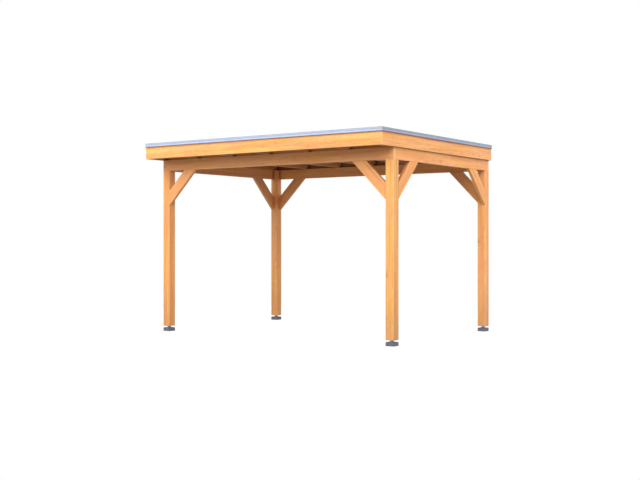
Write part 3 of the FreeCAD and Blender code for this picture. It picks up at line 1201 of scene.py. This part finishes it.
class VERANDA_OT_adjusters(bpy.types.Operator):
    """Finish the steel adjusters between the feet and the posts"""

    bl_idname = "veranda.adjusters"
    bl_label = "Adjusters"

    def execute(self, context):
        feet = context.scene.veranda.feet
        material = patch_material(
            "galvanised_steel", feet.steel_colour, patch_tone=1.7, scales=(70.0, 600.0),
            depths=(0.6, 0.2), roughness=(0.34, 0.5), bump=(0.2, 0.0003), metallic=0.8)
        for corner in CORNERS:
            dress(f"adjuster_{corner}", material)
        return {"FINISHED"}


class VERANDA_OT_screws(bpy.types.Operator):
    """Add the screw heads of the fascia, the beams and the braces"""

    bl_idname = "veranda.screws"
    bl_label = "Screws"

    def execute(self, context):
        fixings = context.scene.veranda.fixings
        material = patch_material(
            "passivated_screws", fixings.screw_colour, patch_tone=0.6, scales=(300.0, 1500.0),
            depths=(0.4, 0.3), roughness=(0.35, 0.5), bump=(0.1, 0.0001), metallic=0.6)
        for name, slot_name, places in (
            ("fascia_screws", "timber_fascia", fascia_screws(fixings)),
            ("beam_screws", "timber_frame", beam_screws(fixings)),
            ("brace_screws", "timber_frame", brace_screws(fixings)),
        ):
            builder = bmesh.new()
            for place, outward in places:
                add_screw_head(builder, place, outward, fixings)
            add_piece(name, builder, material, smooth_below=math.radians(35))
        return {"FINISHED"}


def fascia_screws(fixings):
    """Two screws into each rafter's end, and two rows into the outer rafters' sides."""
    places = []
    rafter_low, rafter_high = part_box(RAFTERS[0])
    heights = (rafter_low.z + fixings.edge_distance, rafter_high.z - fixings.edge_distance)
    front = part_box("fascia_front")[0].y
    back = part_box("fascia_back")[1].y
    for node in RAFTERS:
        low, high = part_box(node)
        x = (low.x + high.x) / 2
        for z in heights:
            places.append((Vector((x, front, z)), -Y_AXIS))
            places.append((Vector((x, back, z)), Y_AXIS))
    low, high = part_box("fascia_left")
    count = round((high.y - low.y) / fixings.fascia_spacing)
    margin = 0.08
    for side, outward, face in (("left", -X_AXIS, 0), ("right", X_AXIS, 1)):
        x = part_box(f"fascia_{side}")[face].x
        for index in range(count + 1):
            y = low.y + margin + (high.y - low.y - 2 * margin) * index / count
            for z in heights:
                places.append((Vector((x, y, z)), outward))
    return places


def beam_screws(fixings):
    """Three screws through each beam's end into what the notches leave of the post's head."""
    shares_across_head = (0.28, 0.72)
    upper_distance = fixings.edge_distance * 1.6
    places = []
    for corner in CORNERS:
        head_low, head_high = head_box(corner)
        for side in corner.split("_"):
            along, outward = (0, 1) if side in LONG_SIDES else (1, 0)
            beam_low, beam_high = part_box(f"beam_{side}")
            face = (beam_low if side in LOW_SIDES else beam_high)[outward]
            low_z = beam_low.z + fixings.edge_distance
            high_z = beam_high.z - upper_distance
            head_width = head_high[along] - head_low[along]
            near, far = [head_low[along] + head_width * share for share in shares_across_head]
            for spot, z in ((near, low_z), (far, (low_z + high_z) / 2), (near, high_z)):
                place = Vector((0, 0, z))
                place[along] = spot
                place[outward] = face
                places.append((place, OUTWARD[side]))
    return places


def brace_screws(fixings):
    """Two screws in each brace's lower edge, near its foot and near its head."""
    distances_from_tip = (0.05, 0.09)
    places = []
    for node in LONG_BRACES + SHORT_BRACES:
        brace = brace_axes(node)
        edge_middle = brace["corner"] + brace["cross"] * brace["reach"]
        for sign in (-1, 1):
            for from_tip in distances_from_tip:
                place = edge_middle + brace["along"] * sign * (brace["reach"] - from_tip)
                places.append((place, brace["cross"]))
    return places


def add_screw_head(builder, place, outward, fixings):
    """A low round head with its recess."""
    rise = fixings.head_rise
    radius = fixings.head_radius
    top_radius = radius * 0.86
    rim = radius * 0.42
    recess_depth = rise * 0.8
    turn = outward.to_track_quat("Z", "Y").to_matrix().to_4x4()
    matrix = Matrix.Translation(place + outward * rise / 2) @ turn
    verts = bmesh.ops.create_cone(
        builder, cap_ends=True, segments=12, radius1=radius, radius2=top_radius, depth=rise,
        matrix=matrix)["verts"]
    faces = {face for vert in verts for face in vert.link_faces}
    top = max(faces, key=lambda face: face.calc_center_median().dot(outward))
    bmesh.ops.inset_individual(builder, faces=[top], thickness=rim, depth=0.0)
    recess = bmesh.ops.extrude_discrete_faces(builder, faces=[top])["faces"][0]
    bmesh.ops.translate(builder, vec=-outward * recess_depth, verts=recess.verts)


# Camera, lights and floor

class VERANDA_OT_stage(bpy.types.Operator):
    """Set up the camera, the lights and the floor"""

    bl_idname = "veranda.stage"
    bl_label = "Stage"

    def execute(self, context):
        stage = context.scene.veranda.stage
        clear_startup_objects()
        place_camera(context.scene, stage)
        light_sun(context.scene, stage)
        light_sky(context.scene, stage)
        lay_floor(context.scene, stage)
        context.scene.view_settings.view_transform = "Standard"
        return {"FINISHED"}


def clear_startup_objects():
    """Removes what a new file holds beside the veranda."""
    kept = set(frame["nodes"].values()) | set(frame["bodies"].values())
    for obj in list(bpy.data.objects):
        if obj not in kept and "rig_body" not in obj:
            bpy.data.objects.remove(obj)


def place_camera(scene, stage):
    """A level camera at the photograph's place and angle."""
    data = bpy.data.cameras.new("camera")
    data.lens = stage.camera_lens
    data.sensor_width = 36
    camera = bpy.data.objects.new("camera", data)
    camera.location = stage.camera_place
    camera.rotation_euler = (math.pi / 2, 0, stage.camera_turn)
    scene.collection.objects.link(camera)
    scene.camera = camera


def light_sun(scene, stage):
    """The main light, wide enough for soft shadows."""
    data = bpy.data.lights.new("sun", "SUN")
    data.energy = stage.sun_strength
    data.angle = stage.sun_width
    sun = bpy.data.objects.new("sun", data)
    sun.rotation_euler = (math.pi / 2 - stage.sun_height, 0, stage.sun_turn)
    scene.collection.objects.link(sun)


def seen_directly(bench):
    """1 on rays from the camera and on mirrored and refracted ones, otherwise 0."""
    light_path = bench.add("ShaderNodeLightPath").outputs
    seen = bench.math("MAXIMUM", light_path["Is Camera Ray"], light_path["Is Glossy Ray"])
    return bench.math("MAXIMUM", seen, light_path["Is Transmission Ray"])


def light_sky(scene, stage):
    """Light from all round, stronger from overhead, behind which the background is white."""
    world = bpy.data.worlds.new("sky")
    bench = emptied_bench(world)
    upward = bench.parts(bench.add("ShaderNodeTexCoord").outputs["Generated"])["Z"]
    overhead_fade = (0.10, 0.35)
    overhead = bench.step(upward, *overhead_fade)
    more_overhead = stage.sky_strength - stage.surround_strength
    strength = bench.total(stage.surround_strength, (overhead, more_overhead))
    light = bench.add("ShaderNodeBackground", {"Color": rgba((1, 1, 1)), "Strength": strength})
    backdrop = bench.add("ShaderNodeBackground", {"Color": rgba((1, 1, 1)), "Strength": 1.0})
    choice = bench.add("ShaderNodeMixShader", {
        0: seen_directly(bench), 1: light.outputs[0], 2: backdrop.outputs[0]})
    bench.add("ShaderNodeOutputWorld", {"Surface": choice.outputs[0]})
    scene.world = world


def lay_floor(scene, stage):
    """A round floor under the veranda."""
    builder = bmesh.new()
    bmesh.ops.create_circle(builder, cap_ends=True, segments=96, radius=stage.floor_radius)
    mesh = bpy.data.meshes.new("floor")
    builder.to_mesh(mesh)
    builder.free()
    mesh.materials.append(floor_material(stage))
    floor = bpy.data.objects.new("floor", mesh)
    scene.collection.objects.link(floor)


def floor_material(stage):
    """White with a faint shadow where it is seen, and grey where it throws light back up."""
    material = bpy.data.materials.new("pale_floor")
    bench = emptied_bench(material)
    glow = bench.add("ShaderNodeEmission", {"Color": rgba((1, 1, 1)), "Strength": 1.0})
    white = bench.add("ShaderNodeBsdfDiffuse", {"Color": rgba((1, 1, 1))})
    grey = bench.add("ShaderNodeBsdfDiffuse", {"Color": rgba(stage.floor_colour)})
    shown = bench.add("ShaderNodeMixShader", {
        0: stage.floor_shadow, 1: glow.outputs[0], 2: white.outputs[0]})
    choice = bench.add("ShaderNodeMixShader", {
        0: seen_directly(bench), 1: grey.outputs[0], 2: shown.outputs[0]})
    bench.add("ShaderNodeOutputMaterial", {"Surface": choice.outputs[0]})
    return material


class VERANDA_PT_panel(bpy.types.Panel):
    """Steps that finish the veranda, in their order"""

    bl_idname = "VERANDA_PT_panel"
    bl_label = "Veranda"
    bl_space_type = "VIEW_3D"
    bl_region_type = "UI"
    bl_category = "Veranda"

    def draw(self, context):
        for operator in OPERATORS:
            self.layout.operator(operator.bl_idname)


OPERATORS = (
    VERANDA_OT_posts, VERANDA_OT_beams, VERANDA_OT_braces, VERANDA_OT_rafters, VERANDA_OT_fascia,
    VERANDA_OT_roof_boards, VERANDA_OT_roof_skin, VERANDA_OT_edge_trim, VERANDA_OT_feet,
    VERANDA_OT_adjusters, VERANDA_OT_screws, VERANDA_OT_stage,
)
CLASSES = (
    TimberSettings, RoofSettings, FootSettings, FixingSettings, StageSettings, VerandaSettings,
    *OPERATORS, VERANDA_PT_panel,
)


def register():
    for cls in CLASSES:
        bpy.utils.register_class(cls)
    bpy.types.Scene.veranda = PointerProperty(type=VerandaSettings)


def unregister():
    del bpy.types.Scene.veranda
    for cls in reversed(CLASSES):
        bpy.utils.unregister_class(cls)


def main():
    register()
    bpy.ops.veranda.posts()
    bpy.ops.veranda.beams()
    bpy.ops.veranda.braces()
    bpy.ops.veranda.rafters()
    bpy.ops.veranda.fascia()
    bpy.ops.veranda.roof_boards()
    bpy.ops.veranda.roof_skin()
    bpy.ops.veranda.edge_trim()
    bpy.ops.veranda.feet()
    bpy.ops.veranda.adjusters()
    bpy.ops.veranda.screws()
    bpy.ops.veranda.stage()


if __name__ == "__main__":
    main()
